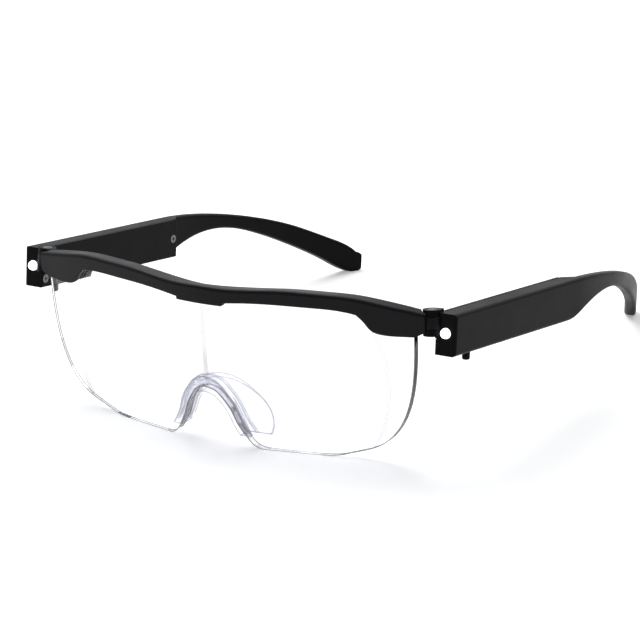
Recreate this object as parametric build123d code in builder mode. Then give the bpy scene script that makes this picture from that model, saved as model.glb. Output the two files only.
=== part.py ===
from build123d import *
import os
from math import asin, atan, cos, degrees, hypot, radians, sin, tan

os.makedirs("parts", exist_ok=True)

# Magnifier glasses with a lamp at the front of each temple, standing on a table.
# X runs across the face, Y from the front to the ear tips, Z up from the table.
# The wearer's left side is at +X. The origin is under the middle of the whole.

# How the glasses stand: on the lens and on the two ear tips.
temple_slope = 7.76
lens_lean = 2.38

# Hinge pins and the top of the temples above the table.
hinge_half_spacing = 67.65
temple_top_height = 46.0

# Battery housing, the straight front part of a temple.
housing_height = 12.1
housing_thickness = 6.6
housing_front = 0.4
hinge_inset = 1.55
outer_wall = 1.1
front_wall = 1.5
edge_wall = 1.0
cover_thickness = 1.3
cover_length = 69.8
cover_seam = 0.1
cover_corner = 0.6
cover_edge_round = 0.4
shell_edge_round = 1.0

# Ear piece, moulded in one with the outer shell.
ear_start = 70.0
ear_length = 83.2
ear_drop = 26.2
ear_thickness = 3.6
ear_bend_radius = 170.0
ear_shoulder = 3.2
ear_shoulder_depth = 0.9
ear_heel = 4.5

# Hinge knuckles on the top part of the housing. The pins lean inward at their tops, so a
# folded ear piece drops below the other temple's housing.
hinge_cant = 4.0
knuckle_rise = 0.6
knuckle_radius = 2.7
knuckle_reach = 7.5
knuckle_end_height = 2.0
knuckle_gap = 0.15
hinge_play = 0.3
hinge_tongue_depth = 0.9
hinge_tongue_length = 7.6
hinge_pin_radius = 0.8
hinge_pin_clearance = 0.05
hinge_head_radius = 1.5
hinge_head_height = 0.7
hinge_pin_stop = 0.4
boss_length = 3.2
hinge_web_width = 2.2

# Magnifying lens, one moulding with a ridge down the middle.
lens_half_width = 64.0
lens_height = 48.0
lens_thickness = 1.8
lens_ridge_depth = 13.3
lens_middle_depth = 7.0
lens_end_depth = 1.4
lens_foot_depth = 10.2
lens_foot_cut = 0.15
magnifier_bulge = 1.6
magnifier_radius = 38.0
magnifier_offset = 17.2
magnifier_height = 23.0

# Notch for the nose in the lower edge of the lens.
notch_half_width = 18.0
notch_height = 18.3

# Brow bar.
bar_half_width = 67.4
bar_height = 51.2
bar_ridge_depth = 16.0
bar_back_wall = 1.1
groove_clearance = 0.05
groove_top_clearance = 0.2
bar_top_round = 1.0
bar_edge_round = 0.4
bar_corner_round = 0.5
tab_drop = 0.9

# Nose saddle of clear silicone.
saddle_wall = 1.3
saddle_lip_width = 3.0
saddle_inset = 0.3
saddle_lip_wall = 0.9
saddle_half_width = 17.2
saddle_height = 19.0
saddle_middle_depth = 9.0
saddle_back_depth = 3.2
saddle_rim_radius = 1.15
saddle_clearance = 0.03

# Cover screws.
cover_screw_radius = 0.7
cover_screw_length = 4.2
cover_screw_head_radius = 1.3
cover_screw_head_height = 0.7
screw_clearance = 0.02
head_clearance = 0.15
boss_radius = 1.7
front_screw_along = 1.5
front_screw_drop = 9.5
rear_screw_inset = 2.0
rear_screw_drop = 6.1
rear_block_length = 4.6
screw_recess_length = 1.6
screw_recess_width = 0.35
screw_recess_depth = 0.4

# Lamp: a 3 mm light-emitting diode and its two leads.
led_radius = 1.5
led_length = 4.2
led_flange_radius = 1.9
led_flange_height = 1.0
led_hole_clearance = 0.05
led_drop = 5.6
led_lead_spacing = 2.54
led_lead_radius = 0.22
led_lead_run = 3.2
led_lead_bend = 0.6

# Circuit board, push switch and button.
board_thickness = 0.6
board_length = 15.6
board_margin = 0.3
board_gap = 0.1
switch_length = 4.0
switch_depth = 2.7
switch_height = 3.2
switch_along = 11.5
switch_clearance = 0.05
button_travel = 0.4
button_radius = 1.15
button_reach = 2.9
button_flange_radius = 1.35
button_flange_height = 0.5
button_end_round = 0.6
button_play = 0.08
plunger_radius = 0.6
plunger_stop_gap = 0.1

# Two coin cells, 9.5 mm across and 2.7 mm thick, and their contact strips.
cell_radius = 4.75
cell_thickness = 2.7
cell_cap_radius = 3.6
cell_cap_height = 0.25
cell_front_along = 25.2
cell_spacing = 11.0
contact_thickness = 0.25
contact_width = 3.0
contact_gap = 0.05
contact_offset = 0.6
rib_thickness = 1.0
rib_gap = 0.25
rib_reach = 2.4

# A cut runs this far past the face that it opens.
overrun = 1.0

# Outlines, as shares of the sizes that they follow.
lens_side_shares = ((1.0, 0.875), (0.991, 0.604), (0.955, 0.354), (0.895, 0.194), (0.802, 0.087),
                    (0.683, 0.032), (0.531, 0.0))
lens_top_shares = ((0.0, 0.952), (0.38, 1.0), (0.75, 0.985), (0.94, 0.915), (1.0, 0.875))
notch_shares = ((1.0, 0.0), (0.79, 0.05), (0.633, 0.23), (0.517, 0.415), (0.44, 0.6), (0.283, 0.84),
                (0.155, 0.956), (0.0, 1.0))
bar_plan_shares = ((0.0, 1.0), (0.297, 0.853), (0.534, 0.635), (0.742, 0.423), (0.89, 0.256),
                   (0.97, 0.16), (1.0, 0.126))
bar_front_top_shares = ((0.0, 0.977), (0.118, 0.975), (0.267, 0.991), (0.417, 1.009),
                        (0.534, 1.009), (0.712, 0.997), (0.831, 0.949), (0.97, 0.9005),
                        (1.02, 0.887))
bar_rear_top_shares = ((0.0, 0.875), (0.118, 0.891), (0.267, 0.904), (0.417, 0.92), (0.534, 0.93),
                       (0.712, 0.937), (0.831, 0.927), (0.97, 0.9005), (1.02, 0.887))
bar_bottom_shares = ((0.118, 0.876), (0.326, 0.8936), (0.504, 0.8906), (0.623, 0.8848),
                     (0.709, 0.867))
block_shares = ((0.709, 0.867), (0.739, 0.83), (0.7715, 0.779), (0.801, 0.7627), (0.89, 0.754),
                (0.942, 0.754))
block_end_shares = ((0.942, 0.754), (0.969, 0.766), (1.0, 0.789))
ear_top_shares = ((0.0, 0.0), (0.325, 0.072), (0.517, 0.174), (0.721, 0.351), (0.86, 0.526), (0.982, 0.752))
ear_end_shares = ((0.982, 0.752), (1.0, 0.88), (0.962, 1.002))
ear_bottom_shares = ((0.962, 1.002), (0.86, 0.845), (0.721, 0.624), (0.517, 0.374), (0.349, 0.256),
                     (0.222, 0.26), (0.084, 0.363), (0.018, 0.435))
notch_tangent_shares = (1.0, 0.5)
clip_share = 0.23
saddle_back_shares = ((0.93, 0.1), (1.0, 0.25), (1.0, 0.43), (0.9, 0.63), (0.66, 0.815), (0.36, 0.945), (0.0, 1.0))

# Planes of the front, which leans, and of the temples, which slope.
housing_inner = hinge_half_spacing + hinge_inset
housing_outer = housing_inner + housing_thickness
bar_front_reach = bar_ridge_depth * cos(radians(lens_lean)) + bar_height * sin(radians(lens_lean))
ear_back_reach = (ear_start + ear_length) * cos(radians(temple_slope))
ear_back_reach -= ear_drop * sin(radians(temple_slope))
hinge_y = (bar_front_reach - ear_back_reach) / 2
front_frame = Plane(
    origin=(0, hinge_y, lens_foot_depth * sin(radians(lens_lean))),
    x_dir=(1, 0, 0),
    z_dir=(0, -sin(radians(lens_lean)), cos(radians(lens_lean))),
)
temple_frame = Plane(
    origin=(0, hinge_y, temple_top_height),
    x_dir=(1, 0, 0),
    z_dir=(0, sin(radians(temple_slope)), cos(radians(temple_slope))),
)
hinge_top = temple_frame.from_local_coords((hinge_half_spacing, 0, knuckle_rise))
hinge_frame = Plane(origin=hinge_top, x_dir=temple_frame.x_dir, z_dir=temple_frame.z_dir)
hinge_frame = hinge_frame.rotated((0, -hinge_cant, 0))
front_up = Axis(front_frame.origin, front_frame.z_dir)
temple_up = Axis(temple_frame.origin, temple_frame.z_dir)
temple_back = Axis(temple_frame.origin, temple_frame.y_dir)


def front_view(depth):
    """Plane facing forward in the front's frame, with its normal forward."""
    spot = front_frame.from_local_coords((0, depth, 0))
    return Plane(origin=spot, x_dir=front_frame.x_dir, z_dir=-front_frame.y_dir)


def level(height):
    """Plane at a height in the temple's frame; drawn in (across, along)."""
    return temple_frame.offset(height)


def hinge_level(height):
    """Plane at a height along the left hinge pin; drawn in (across, along) from the pin."""
    return hinge_frame.offset(height)


def across(reach):
    """Plane at a distance across the face, its normal outward; drawn in (along, height)."""
    spot = temple_frame.from_local_coords((reach, 0, 0))
    return Plane(origin=spot, x_dir=temple_frame.y_dir, z_dir=temple_frame.x_dir)


def facing(along):
    """Plane at a distance along the temple, its normal forward; drawn in (across, height)."""
    spot = temple_frame.from_local_coords((0, along, 0))
    return Plane(origin=spot, x_dir=temple_frame.x_dir, z_dir=-temple_frame.y_dir)


def scaled(shares, width, height):
    """Points of an outline from its shares."""
    return [(x_share * width, y_share * height) for x_share, y_share in shares]


def edge_at(edges, x, z):
    """The edge that is nearest to a place in the front view."""
    places = [front_frame.to_local_coords(edge.center()) for edge in edges]
    gaps = [hypot(place.X - x, place.Z - z) for place in places]
    return edges[gaps.index(min(gaps))]


def edge_along(edge):
    """Place of an edge's centre along the temple."""
    return temple_frame.to_local_coords(edge.center()).Y


def lens_curve(shift):
    """Right half of the lens in plan, shifted along Y, from the ridge to the end."""
    start = (0, shift - lens_ridge_depth)
    middle = (lens_half_width / 2, shift - lens_middle_depth)
    end = (lens_half_width, shift - lens_end_depth)
    return start, middle, end


def lens_half(front_offset, back_offset, low, high):
    """The left half of the lens's plan curve as a band, raised in the front's frame."""
    front_start, front_middle, front_end = lens_curve(-front_offset)
    back_start, back_middle, back_end = lens_curve(back_offset)
    with BuildPart() as band:
        with BuildSketch(front_frame.offset(low)):
            with BuildLine():
                Line(back_start, front_start)
                ThreePointArc(front_start, front_middle, front_end)
                Line(front_end, back_end)
                ThreePointArc(back_end, back_middle, back_start)
            make_face()
        extrude(amount=high - low)
    return band.part


cap_radius = (magnifier_radius**2 + magnifier_bulge**2) / (2 * magnifier_bulge)
lens_back = lens_thickness / 2


def lens_blank(clearance):
    """Left half of the lens before it is cut to outline, grown all over by a clearance."""
    turn = atan((lens_ridge_depth - lens_middle_depth) / (lens_half_width / 2))
    front = lens_ridge_depth - magnifier_offset * tan(turn) + lens_back
    back = cap_radius - magnifier_bulge
    centre = (magnifier_offset - back * sin(turn), back * cos(turn) - front, magnifier_height)
    low = -lens_thickness
    high = lens_height + overrun
    with BuildPart() as cap:
        add(lens_half(lens_back + magnifier_bulge + clearance, 0, low, high))
        with Locations(front_frame.from_local_coords(centre)):
            Sphere(cap_radius + clearance, mode=Mode.INTERSECT)
    with BuildPart() as blank:
        add(lens_half(lens_back + clearance, lens_back + clearance, low, high))
        add(cap.part)
    return blank.part


def lens_outline(grow):
    """Left half of the lens in front view as a solid, its top and side edges grown."""
    side_points = [(x + grow, z) for x, z in scaled(lens_side_shares, lens_half_width, lens_height)]
    notch_points = scaled(notch_shares, notch_half_width, notch_height)
    top_points = [(x, z + grow) for x, z in scaled(lens_top_shares, lens_half_width, lens_height)]
    foot_end = (side_points[-1][0], -lens_foot_cut)
    foot_start = (notch_half_width, -lens_foot_cut)
    with BuildPart() as outline:
        with BuildSketch(front_view(0)):
            with BuildLine():
                Spline(*side_points, tangents=((0, -1), (-1, 0)))
                Line(side_points[-1], foot_end)
                Line(foot_end, foot_start)
                Line(foot_start, notch_points[0])
                Spline(*notch_points, tangents=((-1, 0), (-1, 0)), tangent_scalars=notch_tangent_shares)
                Line(notch_points[-1], top_points[0])
                Spline(*top_points)
                if grow:
                    Line(top_points[-1], side_points[0])
            make_face()
        extrude(amount=lens_half_width, both=True)
    return outline.part


# Magnifying lens: a band of even thickness, cut to the outline of the lens, with a
# shallow convex cap on the front of each half. Its lower edge is flat on the table.
with BuildPart() as magnifier_lens:
    add(lens_blank(0))
    add(lens_outline(0), mode=Mode.INTERSECT)
    split(bisect_by=Plane.XY, keep=Keep.TOP)
    mirror(about=Plane.YZ)
magnifier_lens.part.label = "magnifier_lens"
export_step(magnifier_lens.part, "parts/magnifier_lens.step")

# Levels of the hinge knuckles below the top of the temple. The temple has the upper and
# the lower one, and the brow bar the one between them.
upper_knuckle_low = knuckle_end_height
lower_knuckle_high = knuckle_reach - knuckle_end_height
bar_knuckle_high = upper_knuckle_low + knuckle_gap
bar_knuckle_low = lower_knuckle_high - knuckle_gap

# Brow bar: bowed in plan, arched in front view, with a drop block at each end, a tab in
# the middle, a groove for the lens below and a hinge knuckle at each end.
with BuildPart() as bar_groove:
    add(lens_blank(groove_clearance))
    add(lens_outline(groove_top_clearance), mode=Mode.INTERSECT)

# The top face arches, and slopes down to the rear in the middle of the bar.
with BuildPart() as bar_top:
    for depth, shares in ((-bar_ridge_depth - overrun, bar_front_top_shares),
                          (bar_back_wall + overrun, bar_rear_top_shares)):
        with BuildSketch(front_view(depth)):
            with BuildLine():
                top_points = scaled(shares, bar_half_width, bar_height)
                top_high = bar_height + 2 * overrun
                Spline(*top_points, tangents=((1, 0), (1, -0.2)))
                Polyline(top_points[-1], (top_points[-1][0], top_high), (0, top_high), top_points[0])
            make_face()
    loft(ruled=True)

with BuildPart() as brow_bar:
    with BuildSketch(front_frame):
        with BuildLine():
            bar_plan = scaled(bar_plan_shares, bar_half_width, -bar_ridge_depth)
            back_shift = lens_back + groove_clearance + bar_back_wall
            back_start, back_middle, back_end = lens_curve(back_shift)
            bar_end = (bar_half_width, back_end[1])
            Spline(*bar_plan, tangents=((1, 0), (1, 0.3)))
            Line(bar_plan[-1], bar_end)
            Line(bar_end, back_end)
            ThreePointArc(back_end, back_middle, back_start)
            Line(back_start, bar_plan[0])
        make_face()
    extrude(amount=bar_height + overrun)
    with BuildSketch(front_view(0)):
        with BuildLine():
            bottom_points = scaled(bar_bottom_shares, bar_half_width, bar_height)
            block_points = scaled(block_shares, bar_half_width, bar_height)
            end_points = scaled(block_end_shares, bar_half_width, bar_height)
            tab_corner = (bottom_points[0][0], bottom_points[0][1] - tab_drop)
            tab_middle = (0, tab_corner[1])
            end_top = (bar_half_width, bar_height + overrun)
            Polyline(tab_middle, (0, bar_height + overrun), end_top, end_points[-1])
            ThreePointArc(*reversed(end_points))
            Spline(*block_points, tangents=((1, -0.9), (1, 0)))
            Spline(*bottom_points)
            Line(bottom_points[0], tab_corner)
            Line(tab_corner, tab_middle)
        make_face()
    extrude(amount=bar_half_width, both=True, mode=Mode.INTERSECT)
    add(bar_top.part, mode=Mode.SUBTRACT)
    # Rounds: the inner corners of the lower edge, then its front, then the top edges.
    depth_edges = brow_bar.edges().filter_by(Axis(front_frame.origin, front_frame.y_dir))
    fillet(edge_at(depth_edges, *block_points[0]), bar_corner_round)
    fillet(edge_at(depth_edges, *tab_corner), bar_corner_round)
    front_face = brow_bar.faces().sort_by(SortBy.AREA)[-1]
    front_edges = front_face.edges().filter_by(GeomType.LINE, reverse=True).sort_by(front_up)
    fillet(front_edges[:-1].sort_by(Axis.X)[:-1], bar_edge_round)
    top_edges = brow_bar.edges().filter_by(lambda edge: edge.length > bar_height).sort_by(Axis.Y)
    fillet(top_edges[0], bar_top_round)
    rear_edge = brow_bar.edges().filter_by(lambda edge: edge.length > bar_height).sort_by(Axis.Y)[-1]
    fillet(rear_edge, bar_edge_round)
    with BuildSketch(hinge_level(overrun)):
        Circle(knuckle_radius + hinge_play)
    extrude(amount=-knuckle_reach - 2 * overrun, mode=Mode.SUBTRACT)
    with BuildSketch(hinge_level(-bar_knuckle_high)):
        Circle(knuckle_radius)
        with Locations((0, -knuckle_radius)):
            Rectangle(hinge_tongue_length, knuckle_radius + hinge_tongue_depth, align=(Align.MAX, Align.MIN))
        Circle(hinge_pin_radius + hinge_pin_clearance, mode=Mode.SUBTRACT)
    extrude(amount=bar_knuckle_high - bar_knuckle_low)
    add(bar_groove.part, mode=Mode.SUBTRACT)
    mirror(about=Plane.YZ)
brow_bar.part.label = "brow_bar"
export_step(brow_bar.part, "parts/brow_bar.step")

# Nose saddle: a strap round the notch of the lens that widens into two pads behind it,
# with a thick rim at the back and a lip that grips the edge of the notch.
saddle_low = clip_share * notch_height


def notch_face(grow):
    """Left half of the notch in front view, grown by an amount."""
    points = scaled(notch_shares, notch_half_width + grow, notch_height + grow)
    with BuildSketch() as outline:
        with BuildLine():
            Spline(*points, tangents=((-1, 0), (-1, 0)), tangent_scalars=notch_tangent_shares)
            Polyline(points[-1], (0, 0), points[0])
        make_face()
    return outline.sketch


def strap_face():
    """Section of half the strap where it leaves the lens."""
    with BuildSketch() as section:
        add(notch_face(-saddle_inset))
        add(notch_face(-saddle_wall), mode=Mode.SUBTRACT)
        Rectangle(lens_half_width, saddle_low, align=Align.MIN, mode=Mode.SUBTRACT)
    return section.sketch


def notch_opening(grow):
    """Left half of the notch above the saddle's lower ends, as a solid."""
    with BuildPart() as opening:
        with BuildSketch(front_view(0)):
            add(notch_face(grow))
        extrude(amount=lens_half_width, both=True)
        split(bisect_by=front_frame.offset(saddle_low), keep=Keep.TOP)
    return opening.part


# The lip is a band round the edge of the notch, with a slot for the lens in it.
lip_front = lens_back + magnifier_bulge + saddle_lip_wall / 2
lip_back = lens_back + saddle_clearance + saddle_lip_wall
with BuildPart() as lens_edge:
    add(lens_blank(saddle_clearance))
    add(notch_opening(-saddle_clearance), mode=Mode.SUBTRACT)

with BuildPart() as saddle_lip:
    add(lens_half(lip_front, lip_back, 0, lens_height))
    add(notch_opening(saddle_lip_width), mode=Mode.INTERSECT)
    add(notch_opening(-saddle_wall), mode=Mode.SUBTRACT)
    add(lens_edge.part, mode=Mode.SUBTRACT)

with BuildPart() as nose_saddle:
    with BuildSketch(front_view(-saddle_middle_depth)):
        add(strap_face())
    with BuildSketch(front_view(-saddle_back_depth)):
        with BuildLine():
            ring = scaled(saddle_back_shares, saddle_half_width, saddle_height)
            inner_size = (saddle_half_width - saddle_wall, saddle_height - saddle_wall)
            inner_ring = scaled(saddle_back_shares, *inner_size)
            Spline(*ring)
            Line(ring[-1], inner_ring[-1])
            Spline(*inner_ring)
            Line(inner_ring[0], ring[0])
        make_face()
    loft()
    with BuildSketch(front_view(-saddle_middle_depth)):
        add(strap_face())
    extrude(amount=lens_ridge_depth)
    add(lens_half(2 * lens_ridge_depth, -lip_front, -overrun, lens_height), mode=Mode.SUBTRACT)
    add(saddle_lip.part)
    with BuildLine(front_view(-saddle_back_depth)) as rim_path:
        Spline(*scaled(saddle_back_shares, saddle_half_width - saddle_wall / 2, saddle_height - saddle_wall / 2))
    with BuildSketch(Plane(origin=rim_path.line @ 0, z_dir=rim_path.line % 0)):
        Circle(saddle_rim_radius)
    sweep(path=rim_path.line)
    with Locations(rim_path.line @ 0):
        Sphere(saddle_rim_radius)
    split(bisect_by=Plane.YZ, keep=Keep.TOP)
    mirror(about=Plane.YZ)
nose_saddle.part.label = "nose_saddle"
export_step(nose_saddle.part, "parts/nose_saddle.step")

# Shared places in a temple, all for the left one; the right one is its mirror image.
cover_face = housing_inner + cover_thickness
cavity_start = front_wall - housing_front
cavity_end = cover_length - rear_block_length
cavity_outer = housing_outer - outer_wall
cavity_height = housing_height - 2 * edge_wall
lamp_across = (cover_face + cavity_outer) / 2
rear_screw_along = cover_length - rear_screw_inset
screw_places = ((front_screw_along, -front_screw_drop), (rear_screw_along, -rear_screw_drop))
cells_inner_face = cover_face + board_gap + board_thickness + 2 * contact_gap + contact_thickness
cells_outer_face = cells_inner_face + cell_thickness
board_start = front_screw_along + boss_radius + contact_gap
contact_start = board_start + board_length - contact_width
cells_front = cell_front_along - cell_radius
cells_rear = cell_front_along + cell_spacing + cell_radius
contact_end = cells_rear
front_rib_along = cells_front - rib_gap
rear_rib_along = cells_rear + rib_gap
front_rib_drop = cavity_height / 2


def export_pair(piece, name):
    """Write a left piece and its mirror image on the right."""
    piece.part.label = "left_" + name
    export_step(piece.part, f"parts/left_{name}.step")
    with BuildPart() as twin:
        mirror(piece.part, about=Plane.YZ)
    twin.part.label = "right_" + name
    export_step(twin.part, f"parts/right_{name}.step")


# Temple shell: the outer half of the battery housing and the whole ear piece.
ear_inner_radius = ear_bend_radius - ear_thickness
ear_centre = (housing_outer - ear_bend_radius, ear_start)
ear_span = degrees(asin((ear_length + overrun) / ear_bend_radius))
shoulder_angle = degrees(asin((cover_length + ear_shoulder - ear_start) / ear_inner_radius))
with BuildPart() as temple_shell:
    with BuildSketch(level(overrun)):
        with BuildLine():
            outer_arc = CenterArc(ear_centre, ear_bend_radius, 0, ear_span)
            inner_arc = CenterArc(ear_centre, ear_inner_radius, shoulder_angle, ear_span - shoulder_angle)
            seam_face = cover_face + cover_seam
            shoulder = (housing_inner + ear_shoulder_depth, cover_length + cover_seam)
            Line(outer_arc @ 1, inner_arc @ 1)
            Polyline(inner_arc @ 0, shoulder, (seam_face, cover_length + cover_seam),
                     (seam_face, -housing_front), (housing_outer, -housing_front), outer_arc @ 0)
        make_face()
    extrude(amount=-ear_drop - 2 * overrun)
    with BuildSketch(across(0)):
        with BuildLine():
            ear_top = [(ear_start + x, z) for x, z in scaled(ear_top_shares, ear_length, -ear_drop)]
            ear_end = [(ear_start + x, z) for x, z in scaled(ear_end_shares, ear_length, -ear_drop)]
            ear_bottom = [(ear_start + x, z) for x, z in scaled(ear_bottom_shares, ear_length, -ear_drop)]
            ear_bottom.append((ear_start - ear_heel, -housing_height))
            Polyline(ear_bottom[-1], (-housing_front, -housing_height), (-housing_front, 0), ear_top[0])
            Spline(*ear_top, tangents=((1, 0), (0.65, -0.75)))
            ThreePointArc(*ear_end)
            Spline(*ear_bottom, tangents=((-1, 0.25), (-1, 0)))
        make_face()
    extrude(amount=housing_outer + overrun, mode=Mode.INTERSECT)
    inner_ear_face, outer_ear_face = temple_shell.faces().filter_by(GeomType.CYLINDER).sort_by(SortBy.AREA)[-2:]
    housing_face = temple_shell.faces().filter_by(Axis.X).sort_by(Axis.X)[-1]
    outer_edges = ShapeList(outer_ear_face.edges() + housing_face.edges())
    outer_edges = outer_edges.filter_by(lambda edge: abs(edge_along(edge) - ear_start) > overrun)
    inner_edges = inner_ear_face.edges().sort_by(SortBy.LENGTH)[-2:]
    fillet(outer_edges + inner_edges, shell_edge_round)
    # Room for the battery and the electronics, open towards the cover.
    cavity_middle = (cavity_start + cavity_end) / 2
    with BuildSketch(across(seam_face - overrun)):
        with Locations((cavity_middle, -housing_height / 2)):
            Rectangle(cavity_end - cavity_start, cavity_height)
    extrude(amount=cavity_outer - seam_face + overrun, mode=Mode.SUBTRACT)
    # Hinge boss beside the cover, with the upper and lower knuckles.
    with BuildSketch(level(0)):
        with Locations((housing_inner, -housing_front)):
            Rectangle(seam_face - housing_inner, boss_length + housing_front, align=Align.MIN)
    extrude(amount=-knuckle_reach)
    with BuildSketch(hinge_level(0), hinge_level(-lower_knuckle_high)):
        Circle(knuckle_radius)
        with Locations((0, -housing_front)):
            Rectangle(hinge_web_width, knuckle_radius + housing_front, align=Align.MIN)
    extrude(amount=-knuckle_end_height)
    with BuildSketch(hinge_level(-upper_knuckle_low)):
        Circle(knuckle_radius + hinge_play)
    extrude(amount=upper_knuckle_low - lower_knuckle_high, mode=Mode.SUBTRACT)
    # Bore for the hinge pin, blind at its lower end, and the recess for its head.
    with BuildSketch(hinge_level(overrun)):
        Circle(hinge_pin_radius + screw_clearance)
    extrude(amount=-overrun - knuckle_reach + hinge_pin_stop, mode=Mode.SUBTRACT)
    with BuildSketch(hinge_level(overrun)):
        Circle(hinge_head_radius + head_clearance)
    extrude(amount=-overrun - hinge_head_height, mode=Mode.SUBTRACT)
    # Screw boss at the front, ribs round the cells and the holes for both cover screws.
    with BuildSketch(across(seam_face)):
        with Locations(screw_places[0]):
            Circle(boss_radius)
    extrude(amount=cavity_outer - seam_face)
    with BuildSketch(across(cells_outer_face - rib_reach)):
        with Locations((front_rib_along, -edge_wall)):
            Rectangle(rib_thickness, front_rib_drop, align=Align.MAX)
    extrude(amount=cavity_outer - cells_outer_face + rib_reach)
    with BuildSketch(across(cells_inner_face)):
        with Locations((rear_rib_along, -edge_wall)):
            Rectangle(rib_thickness, cavity_height, align=(Align.MIN, Align.MAX))
    extrude(amount=cavity_outer - cells_inner_face)
    with BuildSketch(across(seam_face)):
        with Locations(*screw_places):
            Circle(cover_screw_radius + screw_clearance)
    extrude(amount=cover_screw_length + cover_screw_head_height - cover_thickness, mode=Mode.SUBTRACT)
    # Hole for the lamp in the front wall and for the button in the lower wall.
    with BuildSketch(facing(cavity_start)):
        with Locations((lamp_across, -led_drop)):
            Circle(led_radius + led_hole_clearance)
    extrude(amount=front_wall + overrun, mode=Mode.SUBTRACT)
    with BuildSketch(level(edge_wall - housing_height)):
        with Locations((lamp_across, switch_along)):
            Circle(button_radius + button_play)
    extrude(amount=-edge_wall - overrun, mode=Mode.SUBTRACT)
    # The tip of the ear piece is flat where it stands on the table.
    split(bisect_by=Plane.XY, keep=Keep.TOP)
export_pair(temple_shell, "temple_shell")

# Temple cover: a plate on the inner side of the housing, cut out for the hinge boss.
with BuildPart() as temple_cover:
    with BuildSketch(across(housing_inner)):
        with Locations((-housing_front, 0)):
            Rectangle(cover_length + housing_front, housing_height, align=(Align.MIN, Align.MAX))
        fillet(vertices().sort_by(temple_back)[-2:].sort_by(temple_up)[0], cover_corner)
        with Locations((-housing_front, 0)):
            Rectangle(housing_front + boss_length + cover_seam, knuckle_reach + cover_seam,
                      align=(Align.MIN, Align.MAX), mode=Mode.SUBTRACT)
        with Locations(*screw_places):
            Circle(cover_screw_radius + head_clearance, mode=Mode.SUBTRACT)
    extrude(amount=cover_thickness)
    inner_face = temple_cover.faces().sort_by(Axis.X)[0]
    fillet(inner_face.outer_wire().edges(), cover_edge_round)
    with BuildSketch(across(housing_inner)):
        with Locations(*screw_places):
            Circle(cover_screw_head_radius + head_clearance)
    extrude(amount=cover_screw_head_height, mode=Mode.SUBTRACT)
export_pair(temple_cover, "temple_cover")

# Cover screws: two cheese-head screws with a cross recess.
with BuildPart() as cover_screws:
    with BuildSketch(across(housing_inner)):
        with Locations(*screw_places):
            Circle(cover_screw_head_radius)
    extrude(amount=cover_screw_head_height)
    with BuildSketch(across(housing_inner + cover_screw_head_height)):
        with Locations(*screw_places):
            Circle(cover_screw_radius)
    extrude(amount=cover_screw_length - cover_screw_head_height)
    with BuildSketch(across(housing_inner)):
        with Locations(*screw_places):
            Rectangle(screw_recess_length, screw_recess_width)
            Rectangle(screw_recess_width, screw_recess_length)
    extrude(amount=screw_recess_depth, mode=Mode.SUBTRACT)
export_pair(cover_screws, "cover_screws")

# Hinge screw: a slotted head over a plain pin that runs through the three knuckles.
with BuildPart() as hinge_screw:
    with BuildSketch(hinge_level(0)):
        Circle(hinge_head_radius)
    extrude(amount=-hinge_head_height)
    with BuildSketch(hinge_level(-hinge_head_height)):
        Circle(hinge_pin_radius)
    extrude(amount=hinge_head_height + hinge_pin_stop + screw_clearance - knuckle_reach)
    with BuildSketch(hinge_level(0)):
        Rectangle(2 * hinge_head_radius, screw_recess_width)
    extrude(amount=-screw_recess_depth, mode=Mode.SUBTRACT)
export_pair(hinge_screw, "hinge_screw")

# Light-emitting diode: a clear domed body with a flange behind the front wall.
led_back = cavity_start + contact_gap + led_flange_height
led_axis = (lamp_across, -led_drop)
led_dome_along = led_back - led_length + led_radius
with BuildPart() as led:
    with BuildSketch(facing(led_back)):
        with Locations(led_axis):
            Circle(led_flange_radius)
    extrude(amount=led_flange_height)
    with BuildSketch(facing(led_back)):
        with Locations(led_axis):
            Circle(led_radius)
    extrude(amount=led_length - led_radius)
    with Locations(temple_frame.from_local_coords((lamp_across, led_dome_along, -led_drop))):
        Sphere(led_radius)
export_pair(led, "led")

# Leads of the diode, bent over to the circuit board.
board_face = cover_face + board_gap + board_thickness
with BuildPart() as led_leads:
    for lead_side in (1, -1):
        with BuildLine(level(lead_side * led_lead_spacing / 2 - led_drop)) as lead_path:
            lead_end = led_back + led_lead_run
            FilletPolyline((lamp_across, led_back), (lamp_across, lead_end), (board_face, lead_end),
                           radius=led_lead_bend)
        with BuildSketch(Plane(origin=lead_path.line @ 0, z_dir=lead_path.line % 0)):
            Circle(led_lead_radius)
        sweep(path=lead_path.line)
export_pair(led_leads, "led_leads")

# Circuit board, flat behind the cover.
with BuildPart() as circuit_board:
    with BuildSketch(across(cover_face + board_gap)):
        with Locations((board_start, -housing_height / 2)):
            Rectangle(board_length, cavity_height - 2 * board_margin, align=(Align.MIN, Align.CENTER))
    extrude(amount=board_thickness)
export_pair(circuit_board, "circuit_board")

# Push switch on the board, with a bore for its plunger.
flange_top = button_flange_height + contact_gap + edge_wall - housing_height
switch_low = flange_top + switch_clearance + button_travel + plunger_stop_gap
with BuildPart() as switch_body:
    with BuildSketch(level(switch_low)):
        with Locations((lamp_across, switch_along)):
            Rectangle(switch_depth, switch_length)
    extrude(amount=switch_height)
    with BuildSketch(level(switch_low)):
        with Locations((lamp_across, switch_along)):
            Circle(plunger_radius + switch_clearance)
    extrude(amount=switch_height / 2, mode=Mode.SUBTRACT)
export_pair(switch_body, "switch_body")

with BuildPart() as switch_plunger:
    with BuildSketch(level(flange_top)):
        with Locations((lamp_across, switch_along)):
            Circle(plunger_radius)
    extrude(amount=switch_low - flange_top + switch_height / 2 - button_travel - plunger_stop_gap)
export_pair(switch_plunger, "switch_plunger")

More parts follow.
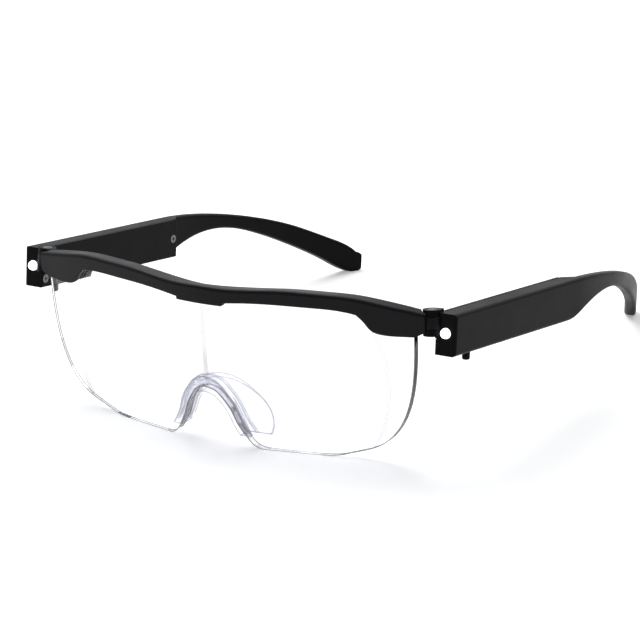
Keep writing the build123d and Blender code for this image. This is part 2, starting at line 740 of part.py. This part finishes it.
# Push button: a stem through the lower wall, kept in by a flange inside.
with BuildPart() as push_button:
    with BuildSketch(level(flange_top)):
        with Locations((lamp_across, switch_along)):
            Circle(button_flange_radius)
    extrude(amount=-button_flange_height)
    with BuildSketch(level(flange_top)):
        with Locations((lamp_across, switch_along)):
            Circle(button_radius)
    extrude(amount=-flange_top - housing_height - button_reach)
    fillet(push_button.edges().sort_by(temple_up)[0], button_end_round)
export_pair(push_button, "push_button")

# Coin cells: a can with a smaller cap towards the board.
cell_middle = -housing_height / 2
for cell_number, cell_name in enumerate(("front_cell", "rear_cell")):
    cell_place = (cell_front_along + cell_number * cell_spacing, cell_middle)
    with BuildPart() as cell:
        with BuildSketch(across(cells_inner_face)):
            with Locations(cell_place):
                Circle(cell_cap_radius)
        extrude(amount=cell_thickness)
        with BuildSketch(across(cells_inner_face + cell_cap_height)):
            with Locations(cell_place):
                Circle(cell_radius)
        extrude(amount=cell_thickness - cell_cap_height)
    export_pair(cell, cell_name)

# Inner contact strip, from the board along the caps of the cells.
with BuildPart() as inner_contact:
    with BuildSketch(across(cells_inner_face - contact_gap - contact_thickness)):
        with Locations((contact_start, cell_middle + contact_offset)):
            Rectangle(contact_end - contact_start, contact_width, align=Align.MIN)
    extrude(amount=contact_thickness)
export_pair(inner_contact, "inner_contact")

# Outer contact strip, along the cans of the cells, with a leg across to the board.
with BuildPart() as outer_contact:
    with BuildSketch(across(cells_outer_face + contact_gap)):
        with Locations((contact_start, cell_middle - contact_offset)):
            Rectangle(contact_end - contact_start, contact_width, align=(Align.MIN, Align.MAX))
    extrude(amount=contact_thickness)
    with BuildSketch(across(board_face + contact_gap)):
        with Locations((contact_start, cell_middle - contact_offset)):
            Rectangle(contact_thickness, contact_width, align=(Align.MIN, Align.MAX))
    extrude(amount=cells_outer_face - board_face)
export_pair(outer_contact, "outer_contact")
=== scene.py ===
import math

import bmesh
import bpy
from mathutils import Matrix, Vector


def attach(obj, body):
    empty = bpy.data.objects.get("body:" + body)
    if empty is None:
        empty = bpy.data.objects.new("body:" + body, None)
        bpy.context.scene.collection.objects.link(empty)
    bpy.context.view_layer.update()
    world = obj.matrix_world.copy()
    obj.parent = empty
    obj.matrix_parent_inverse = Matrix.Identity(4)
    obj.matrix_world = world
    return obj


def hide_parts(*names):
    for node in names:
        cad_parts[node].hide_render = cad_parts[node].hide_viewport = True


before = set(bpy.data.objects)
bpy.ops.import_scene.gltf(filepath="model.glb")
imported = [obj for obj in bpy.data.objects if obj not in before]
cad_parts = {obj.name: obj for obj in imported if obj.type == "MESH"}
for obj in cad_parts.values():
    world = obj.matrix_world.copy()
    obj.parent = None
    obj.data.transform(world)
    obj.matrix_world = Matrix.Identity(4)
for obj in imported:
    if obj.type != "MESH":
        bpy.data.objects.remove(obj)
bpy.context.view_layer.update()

# Camera, at the angle from which the glasses were photographed: in front of them, to the
# wearer's left and a little above, far off with a long lens, and rolled a touch.
camera_azimuth = math.radians(33.6)
camera_elevation = math.radians(18.26)
camera_roll = math.radians(-2.29)
camera_distance = 0.9378
camera_target = Vector((0.00365, -0.0254, 0.02212))
camera_back = Vector((math.sin(camera_azimuth) * math.cos(camera_elevation),
                      -math.cos(camera_azimuth) * math.cos(camera_elevation),
                      math.sin(camera_elevation)))
level_right = Vector((math.cos(camera_azimuth), math.sin(camera_azimuth), 0))
level_up = camera_back.cross(level_right)
camera_right = level_right * math.cos(camera_roll) + level_up * math.sin(camera_roll)
camera_up = level_up * math.cos(camera_roll) - level_right * math.sin(camera_roll)
camera_data = bpy.data.cameras.new("camera")
camera_data.sensor_width = 36.0
camera_data.lens = 174.5
camera_data.clip_start = 0.05
camera_data.clip_end = 20.0
camera = bpy.data.objects.new("camera", camera_data)
bpy.context.scene.collection.objects.link(camera)
camera.matrix_world = (Matrix.Translation(camera_target + camera_back * camera_distance)
                       @ Matrix((camera_right, camera_up, camera_back)).transposed().to_4x4())
bpy.context.scene.camera = camera
bpy.context.scene.view_settings.view_transform = "Standard"


# Table top: a wide sheet of white paper that the glasses stand on. It is matt, and what the
# eye sees is white with the soft shadows of the lens and the ear tips.
def linear(hex_colour):
    """A colour written as sRGB hex, in linear light with full alpha."""
    values = [int(hex_colour[i:i + 2], 16) / 255 for i in (1, 3, 5)]
    return [v / 12.92 if v <= 0.04045 else ((v + 0.055) / 1.055) ** 2.4 for v in values] + [1.0]


def add_node(tree, kind, settings=None, inputs=None):
    """A node with its settings; each input takes a value or another node's output."""
    made = tree.nodes.new(kind)
    for name, value in (settings or {}).items():
        setattr(made, name, value)
    for key, value in (inputs or {}).items():
        if isinstance(value, bpy.types.NodeSocket):
            tree.links.new(value, made.inputs[key])
        else:
            made.inputs[key].default_value = value
    return made


def new_material(name):
    """An empty node material with its tree and the input of its surface."""
    material = bpy.data.materials.new(name)
    material.use_nodes = True
    material.node_tree.nodes.clear()
    output = add_node(material.node_tree, "ShaderNodeOutputMaterial")
    return material, material.node_tree, output.inputs["Surface"]


def sums(tree, operation, first, second=0.0):
    """The result of a sum on one or two numbers."""
    return add_node(tree, "ShaderNodeMath", {"operation": operation}, {0: first, 1: second}).outputs[0]


def blend_colours(tree, factor, first, second):
    """A colour between two others, each a hex colour or another node's output.

    The node's inputs 6 and 7 and its output 2 are the ones for colours.
    """
    ends = [linear(colour) if isinstance(colour, str) else colour for colour in (first, second)]
    mix = add_node(tree, "ShaderNodeMix", {"data_type": "RGBA"}, {"Factor": factor, 6: ends[0], 7: ends[1]})
    return mix.outputs[2]


def blend_shaders(tree, factor, first, second):
    """A shader between two others."""
    mix = add_node(tree, "ShaderNodeMixShader", inputs={0: factor, 1: first, 2: second})
    return mix.outputs[0]


table_reach = 4.0
patches_across_table = 900.0
paper_glow = 0.32
table_material, tree, surface = new_material("white_paper_table")
rays = add_node(tree, "ShaderNodeLightPath")
seen = sums(tree, "MAXIMUM", rays.outputs["Is Camera Ray"], rays.outputs["Is Transmission Ray"])
seen = sums(tree, "MAXIMUM", seen, rays.outputs["Is Glossy Ray"])
fibres = add_node(tree, "ShaderNodeTexNoise", inputs={"Scale": patches_across_table, "Detail": 3.0})
paper = blend_colours(tree, fibres.outputs["Fac"], "#E9E9E9", "#ECECEC")
matt = add_node(tree, "ShaderNodeBsdfDiffuse", inputs={"Color": paper})
glow = add_node(tree, "ShaderNodeEmission", inputs={"Color": linear("#FFFFFF"), "Strength": paper_glow})
lifted = add_node(tree, "ShaderNodeAddShader", inputs={0: matt.outputs[0], 1: glow.outputs[0]})
tree.links.new(blend_shaders(tree, seen, matt.outputs[0], lifted.outputs[0]), surface)
table_mesh = bpy.data.meshes.new("table")
table_corners = [(x * table_reach, y * table_reach, 0) for x, y in ((-1, -1), (1, -1), (1, 1), (-1, 1))]
table_mesh.from_pydata(table_corners, [], [(0, 1, 2, 3)])
table_mesh.materials.append(table_material)
table = bpy.data.objects.new("table", table_mesh)
bpy.context.scene.collection.objects.link(table)


# Studio: a large soft box over and behind the glasses and a weak one from the right, in a
# room that is pale behind them and dim on the camera's side. The camera itself sees white,
# also through the lens.
def spread(tree, value, low, high, from_low=0.0, from_high=1.0):
    """A number moved from one range to another and held inside it."""
    ends = {"From Min": from_low, "From Max": from_high, "To Min": low, "To Max": high}
    return add_node(tree, "ShaderNodeMapRange", inputs={"Value": value, **ends}).outputs[0]


world = bpy.data.worlds.new("pale_room")
world.use_nodes = True
bpy.context.scene.world = world
world.node_tree.nodes.clear()
tree = world.node_tree
away = Vector((-camera_back.x, -camera_back.y, 0)).normalized()
upward_share = 0.35
dim_strength = 0.14
pale_strength = 0.95
rays = add_node(tree, "ShaderNodeLightPath")
seen = sums(tree, "MAXIMUM", rays.outputs["Is Camera Ray"], rays.outputs["Is Transmission Ray"])
direction = add_node(tree, "ShaderNodeTexCoord").outputs["Generated"]
behind = add_node(tree, "ShaderNodeVectorMath", {"operation": "DOT_PRODUCT"},
                  {0: direction, 1: (away.x, away.y, upward_share)})
pale = spread(tree, behind.outputs["Value"], dim_strength, pale_strength, -0.5, 0.8)
room = add_node(tree, "ShaderNodeBackground", inputs={"Color": linear("#E4E6E8"), "Strength": pale})
white = add_node(tree, "ShaderNodeBackground", inputs={"Color": linear("#FFFFFF"), "Strength": 1.0})
choice = blend_shaders(tree, seen, room.outputs[0], white.outputs[0])
add_node(tree, "ShaderNodeOutputWorld", inputs={"Surface": choice})
for name, side, forward, height, size, power in (
        ("soft_box_over", -0.25, 0.45, 0.85, 0.7, 9.0),
        ("soft_box_right", 0.60, 0.55, 0.50, 0.4, 1.0)):
    light_data = bpy.data.lights.new(name, "AREA")
    light_data.shape = "SQUARE"
    light_data.size = size
    light_data.energy = power
    light = bpy.data.objects.new(name, light_data)
    bpy.context.scene.collection.objects.link(light)
    light.location = camera_target + level_right * side + away * forward + Vector((0, 0, height))
    light.rotation_euler = (camera_target - light.location).to_track_quat("-Z", "Y").to_euler()


# Brow bar: black glass-filled nylon, injection moulded in a spark-eroded tool. The eye sees
# a satin black that greys where light grazes it, with a fine even grain.
def patches(tree, size_mm, detail, **others):
    """Noise of a real size, fixed to the piece."""
    place = add_node(tree, "ShaderNodeTexCoord").outputs["Object"]
    sizes = {"Vector": place, "Scale": 1000 / size_mm, "Detail": detail, **others}
    return add_node(tree, "ShaderNodeTexNoise", inputs=sizes).outputs["Fac"]


def moulded_plastic(name, colour, worn_colour, roughness, grain_mm, grain_height_mm, shine=0.05):
    """Plastic with a fine even grain and faint broad patches of handling."""
    handling_mm = 14.0
    handling_change = 0.05
    material, tree, surface = new_material(name)
    grain = patches(tree, grain_mm, 2.0, Roughness=0.6)
    handling = patches(tree, handling_mm, 4.0, Roughness=0.65)
    bump = add_node(tree, "ShaderNodeBump", inputs={
        "Height": grain, "Distance": grain_height_mm / 1000, "Strength": 0.6})
    sheen = spread(tree, handling, roughness - handling_change, roughness + handling_change, 0.3, 0.7)
    plastic = add_node(tree, "ShaderNodeBsdfPrincipled", inputs={
        "Base Color": blend_colours(tree, handling, colour, worn_colour), "Roughness": sheen,
        "Normal": bump.outputs[0], "IOR": 1.53, "Specular IOR Level": shine})
    tree.links.new(plastic.outputs[0], surface)
    return material


def finish_node(node_name, material):
    """Gives a node of the part its material in every slot."""
    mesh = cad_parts[node_name].data
    if not mesh.materials:
        mesh.materials.append(material)
    for index in range(len(mesh.materials)):
        mesh.materials[index] = material


bar_material = moulded_plastic("satin_black_nylon_bar", "#19191B", "#1F1F21", 0.40, 0.6, 0.02, shine=0.09)
finish_node("brow_bar", bar_material)


# Magnifying lens: cast acrylic, polished on both faces and flame-polished round its edge.
# It is clear; its rim and the circle where each magnifying cap meets the lens bend the
# light away and show as thin grey lines. The circle's grey line is painted shade in the
# lens's colour.
def let_light_through(tree, shader, shadow_colour):
    """A clear piece's shader that casts only a tinted shadow."""
    clear = add_node(tree, "ShaderNodeBsdfTransparent", inputs={"Color": shadow_colour})
    rays = add_node(tree, "ShaderNodeLightPath")
    return blend_shaders(tree, rays.outputs["Is Shadow Ray"], shader, clear.outputs[0])


cap_centre = (0.0172, 0.023)
cap_radius = 0.038
line_width = 0.0004
rim_flatness = 0.45
face_flatness = 0.75
acrylic_ior = 1.49
lens_material, tree, surface = new_material("polished_clear_acrylic")
place = add_node(tree, "ShaderNodeTexCoord").outputs["Object"]
axes = add_node(tree, "ShaderNodeSeparateXYZ", inputs={0: place})
either_half = sums(tree, "ABSOLUTE", axes.outputs["X"])
front_place = add_node(tree, "ShaderNodeCombineXYZ", inputs={"X": either_half, "Z": axes.outputs["Z"]})
from_cap = add_node(tree, "ShaderNodeVectorMath", {"operation": "DISTANCE"},
                    {0: front_place.outputs[0], 1: (cap_centre[0], 0, cap_centre[1])})
off_circle = sums(tree, "ABSOLUTE", sums(tree, "SUBTRACT", from_cap.outputs["Value"], cap_radius))
lines = spread(tree, off_circle, 1.0, 0.0, 0.0, line_width)
normal = add_node(tree, "ShaderNodeNewGeometry").outputs["Normal"]
way = add_node(tree, "ShaderNodeSeparateXYZ", inputs={0: normal})
flatness = sums(tree, "ABSOLUTE", way.outputs["Y"])
rim = spread(tree, flatness, 1.0, 0.0, rim_flatness, face_flatness)
# The grey circle is painted shade: it stands in for the light that the cap's edge bends away.
painted_cap_line_shade = blend_colours(tree, lines, "#FAFBFB", "#A9ADB1")
smears = patches(tree, 22.0, 5.0)
acrylic = add_node(tree, "ShaderNodeBsdfPrincipled", inputs={
    "Base Color": blend_colours(tree, rim, painted_cap_line_shade, "#F8F8F9"),
    "Roughness": spread(tree, smears, 0.0, 0.03, 0.45, 0.8),
    "IOR": acrylic_ior, "Transmission Weight": 1.0})
veil = blend_colours(tree, rim, "#B6B9BF", "#8A8E96")
tree.links.new(let_light_through(tree, acrylic.outputs[0], veil), surface)
finish_node("magnifier_lens", lens_material)


# Lens rim lines: where the faces of the lens meet its edge, a fine rounded arris is polished
# into the acrylic. It bends the light away; the grey bead laid along it is painted shade for
# that, and draws the outline of the lens in grey.
def merged_copy(node_name, merge_distance=1e-6):
    """A copy of a node's mesh with its faces joined."""
    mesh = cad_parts[node_name].data.copy()
    work = bmesh.new()
    work.from_mesh(mesh)
    bmesh.ops.remove_doubles(work, verts=work.verts, dist=merge_distance)
    work.to_mesh(mesh)
    work.free()
    return mesh


def edge_beading():
    """A tree that lays a round bead along the sharp edges of a mesh."""
    tree = bpy.data.node_groups.new("rim_beading", "GeometryNodeTree")
    for name, kind in (("Geometry", "Geometry"), ("Bead Radius", "Float"),
                       ("Edge Angle", "Float"), ("Bead Material", "Material")):
        tree.interface.new_socket(name, in_out="INPUT", socket_type="NodeSocket" + kind)
    tree.interface.new_socket("Geometry", in_out="OUTPUT", socket_type="NodeSocketGeometry")
    given = add_node(tree, "NodeGroupInput").outputs
    turn = add_node(tree, "GeometryNodeInputMeshEdgeAngle")
    sharp = add_node(tree, "FunctionNodeCompare", {"data_type": "FLOAT", "operation": "GREATER_THAN"},
                     {"A": turn.outputs["Unsigned Angle"], "B": given["Edge Angle"]})
    outline = add_node(tree, "GeometryNodeMeshToCurve", inputs={
        "Mesh": given["Geometry"], "Selection": sharp.outputs["Result"]})
    profile = add_node(tree, "GeometryNodeCurvePrimitiveCircle", inputs={
        "Resolution": 8, "Radius": given["Bead Radius"]})
    bead = add_node(tree, "GeometryNodeCurveToMesh", inputs={
        "Curve": outline.outputs["Curve"], "Profile Curve": profile.outputs["Curve"]})
    smooth = add_node(tree, "GeometryNodeSetShadeSmooth", inputs={"Geometry": bead.outputs["Mesh"]})
    real = add_node(tree, "GeometryNodeRealizeInstances", inputs={"Geometry": smooth.outputs["Geometry"]})
    coated = add_node(tree, "GeometryNodeSetMaterial", inputs={
        "Geometry": real.outputs["Geometry"], "Material": given["Bead Material"]})
    add_node(tree, "NodeGroupOutput", inputs={"Geometry": coated.outputs["Geometry"]})
    return tree


def drop_short_beads(mesh, least_length):
    """Deletes the islands of a mesh that are shorter than a length."""
    work = bmesh.new()
    work.from_mesh(mesh)
    reached = set()
    dropped = []
    for first in work.verts:
        if first in reached:
            continue
        reached.add(first)
        island = [first]
        for vertex in island:
            for edge in vertex.link_edges:
                neighbour = edge.other_vert(vertex)
                if neighbour not in reached:
                    reached.add(neighbour)
                    island.append(neighbour)
        spans = [max(v.co[axis] for v in island) - min(v.co[axis] for v in island) for axis in range(3)]
        if max(spans) < least_length:
            dropped += island
    bmesh.ops.delete(work, geom=dropped, context="VERTS")
    work.to_mesh(mesh)
    work.free()


def beads_along_edges(name, node_name, beading, material, bead_radius):
    """A piece of beads along the sharp edges of a node, held above the table."""
    edge_angle = math.radians(40)
    least_bead_length = 0.003
    piece = bpy.data.objects.new(name, merged_copy(node_name))
    bpy.context.scene.collection.objects.link(piece)
    beads = piece.modifiers.new("beads", "NODES")
    beads.node_group = beading
    values = {"Bead Radius": bead_radius, "Edge Angle": edge_angle, "Bead Material": material}
    for socket in beading.interface.items_tree:
        if socket.name in values:
            beads[socket.identifier] = values[socket.name]
    evaluated = piece.evaluated_get(bpy.context.evaluated_depsgraph_get())
    made = bpy.data.meshes.new_from_object(evaluated)
    piece.modifiers.clear()
    piece.data = made
    for vertex in made.vertices:
        vertex.co.z = max(vertex.co.z, 0.0)
    drop_short_beads(made, least_bead_length)
    return piece


rim_beading = edge_beading()
rim_bead_radius = 0.00014
rim_shade_strength = 0.80
# The bead's grey is painted shade for the light that the polished arris bends away.
rim_shade_material, tree, surface = new_material("flame_polished_acrylic_arris_shade")
waves = patches(tree, 5.0, 2.0)
arris = add_node(tree, "ShaderNodeBsdfPrincipled", inputs={
    "Base Color": blend_colours(tree, waves, "#94989C", "#B8BBBE"),
    "Roughness": spread(tree, waves, 0.10, 0.22),
    "IOR": acrylic_ior, "Transmission Weight": 0.35})
inside = add_node(tree, "ShaderNodeBsdfTransparent", inputs={"Color": linear("#F4F5F6")})
tree.links.new(blend_shaders(tree, rim_shade_strength, inside.outputs[0], arris.outputs[0]), surface)
rim_shade_beads = beads_along_edges("lens_rim_shade_beads", "magnifier_lens", rim_beading, rim_shade_material, rim_bead_radius)
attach(rim_shade_beads, "front_frame")

# Nose saddle: clear silicone rubber, moulded in one piece and pushed over the edge of the
# notch. It is soft, so every edge is rounded, and it looks faintly milky and lilac-grey.
saddle_voxel = 0.0004
silicone_ior = 1.41
saddle = bpy.data.objects.new("silicone_nose_saddle", merged_copy("nose_saddle"))
bpy.context.scene.collection.objects.link(saddle)
remesh = saddle.modifiers.new("remesh", "REMESH")
remesh.mode = "VOXEL"
remesh.voxel_size = saddle_voxel
soften = saddle.modifiers.new("soften", "SMOOTH")
soften.factor = 0.5
soften.iterations = 4
evaluated = saddle.evaluated_get(bpy.context.evaluated_depsgraph_get())
soft_mesh = bpy.data.meshes.new_from_object(evaluated)
saddle.modifiers.clear()
saddle.data = soft_mesh
soft_mesh.materials.clear()
soft_mesh.shade_smooth()
silicone_material, tree, surface = new_material("clear_silicone_rubber")
cloud = patches(tree, 3.0, 3.0)
grazing = add_node(tree, "ShaderNodeLayerWeight", inputs={"Blend": 0.35})
turned_away = spread(tree, grazing.outputs["Facing"], 0.08, 0.38, 0.15, 0.85)
skin = add_node(tree, "ShaderNodeBsdfPrincipled", inputs={
    "Base Color": linear("#F2F2F4"), "Roughness": spread(tree, cloud, 0.14, 0.24),
    "IOR": silicone_ior, "Transmission Weight": 0.55})
milk = blend_colours(tree, cloud, "#F8F8FC", "#FCFCFE")
inside = add_node(tree, "ShaderNodeBsdfTransparent", inputs={"Color": milk})
silicone = blend_shaders(tree, turned_away, inside.outputs[0], skin.outputs[0])
tree.links.new(let_light_through(tree, silicone, linear("#DCDAE2")), surface)
soft_mesh.materials.append(silicone_material)
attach(saddle, "front_frame")
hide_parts("nose_saddle")

# Saddle rim lines: the edge of the strap and of the pads is a little thicker than the rest,
# and clear rubber looks greyest there; the grey bead laid along it is painted shade for that.
edge_bead_radius = 0.00018
edge_shade_strength = 0.45
# The bead's grey is painted shade for the light that the thick clear edge bends away.
edge_shade_material, tree, surface = new_material("moulded_silicone_edge_shade")
cloud = patches(tree, 2.5, 2.0)
thick_edge_shade = add_node(tree, "ShaderNodeBsdfPrincipled", inputs={
    "Base Color": blend_colours(tree, cloud, "#C6C6CA", "#E0E0E3"),
    "Roughness": spread(tree, cloud, 0.16, 0.30),
    "IOR": silicone_ior, "Transmission Weight": 0.45})
inside = add_node(tree, "ShaderNodeBsdfTransparent", inputs={"Color": linear("#F6F6F9")})
tree.links.new(blend_shaders(tree, edge_shade_strength, inside.outputs[0], thick_edge_shade.outputs[0]), surface)
edge_shade_beads = beads_along_edges("saddle_rim_shade_beads", "nose_saddle", rim_beading, edge_shade_material,
                               edge_bead_radius)
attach(edge_shade_beads, "front_frame")

# Temples: the same black nylon as the bar. The shell and its ear piece are one moulding
# with a satin finish, and the lid that covers the battery room has a slightly matter one.
shell_material = moulded_plastic("satin_black_nylon_temple", "#0D0D0E", "#131314", 0.38, 0.6, 0.02)
cover_material = moulded_plastic("fine_grain_black_nylon_lid", "#101011", "#161618", 0.48, 0.7, 0.035)
button_material = moulded_plastic("satin_black_nylon_button", "#0D0D0E", "#131314", 0.36, 0.5, 0.01)
for side in ("left", "right"):
    finish_node(side + "_temple_shell", shell_material)
    finish_node(side + "_temple_cover", cover_material)
    finish_node(side + "_push_button", button_material)


# Screws: small steel machine screws, turned and then plated with black nickel. The eye sees
# dull dark metal with fine tool marks on the heads.
def turned_metal(name, colour, roughness, mark_mm):
    """Metal with fine marks of turning or rolling."""
    mark_height_mm = 0.02
    material, tree, surface = new_material(name)
    marks = patches(tree, mark_mm, 3.0)
    bump = add_node(tree, "ShaderNodeBump", inputs={
        "Height": marks, "Distance": mark_height_mm / 1000, "Strength": 0.4})
    metal = add_node(tree, "ShaderNodeBsdfPrincipled", inputs={
        "Base Color": linear(colour), "Metallic": 1.0,
        "Roughness": spread(tree, marks, roughness - 0.08, roughness + 0.12),
        "Normal": bump.outputs[0]})
    tree.links.new(metal.outputs[0], surface)
    return material


screw_material = turned_metal("black_nickel_screw_steel", "#6C6C70", 0.34, 0.2)
for side in ("left", "right"):
    finish_node(side + "_cover_screws", screw_material)
    finish_node(side + "_hinge_screw", screw_material)

# Lamps: 3 mm light-emitting diodes, cast in clear epoxy, lit. The dome is so bright that the
# eye sees only cool white.
lamp_material, tree, surface = new_material("lit_clear_epoxy")
flecks = patches(tree, 0.8, 2.0)
epoxy = add_node(tree, "ShaderNodeBsdfPrincipled", inputs={
    "Base Color": linear("#F3F7FF"), "Roughness": spread(tree, flecks, 0.04, 0.12), "IOR": 1.54,
    "Emission Color": linear("#EEF4FF"), "Emission Strength": 2.2})
tree.links.new(epoxy.outputs[0], surface)
for side in ("left", "right"):
    finish_node(side + "_led", lamp_material)

# Inside the temples, out of sight: tinned leads, green boards, black switches with pale
# plungers, nickel-plated cells and sprung brass contacts.
hidden_materials = {
    "led_leads": turned_metal("tinned_lead_wire", "#C9C9C6", 0.30, 0.3),
    "front_cell": turned_metal("nickel_plated_cell_can", "#BDBDBB", 0.24, 0.4),
    "inner_contact": turned_metal("sprung_brass_contact", "#B99B5C", 0.28, 0.3),
    "circuit_board": moulded_plastic("green_solder_mask_board", "#0F3D1C", "#15512A", 0.30, 0.8, 0.01),
    "switch_body": moulded_plastic("black_switch_housing", "#1A1A1A", "#222222", 0.45, 0.5, 0.01),
    "switch_plunger": moulded_plastic("pale_switch_plunger", "#CFCDC4", "#DAD8D0", 0.40, 0.5, 0.01),
}
hidden_materials["rear_cell"] = hidden_materials["front_cell"]
hidden_materials["outer_contact"] = hidden_materials["inner_contact"]
for side in ("left", "right"):
    for piece_name, material in hidden_materials.items():
        finish_node(side + "_" + piece_name, material)
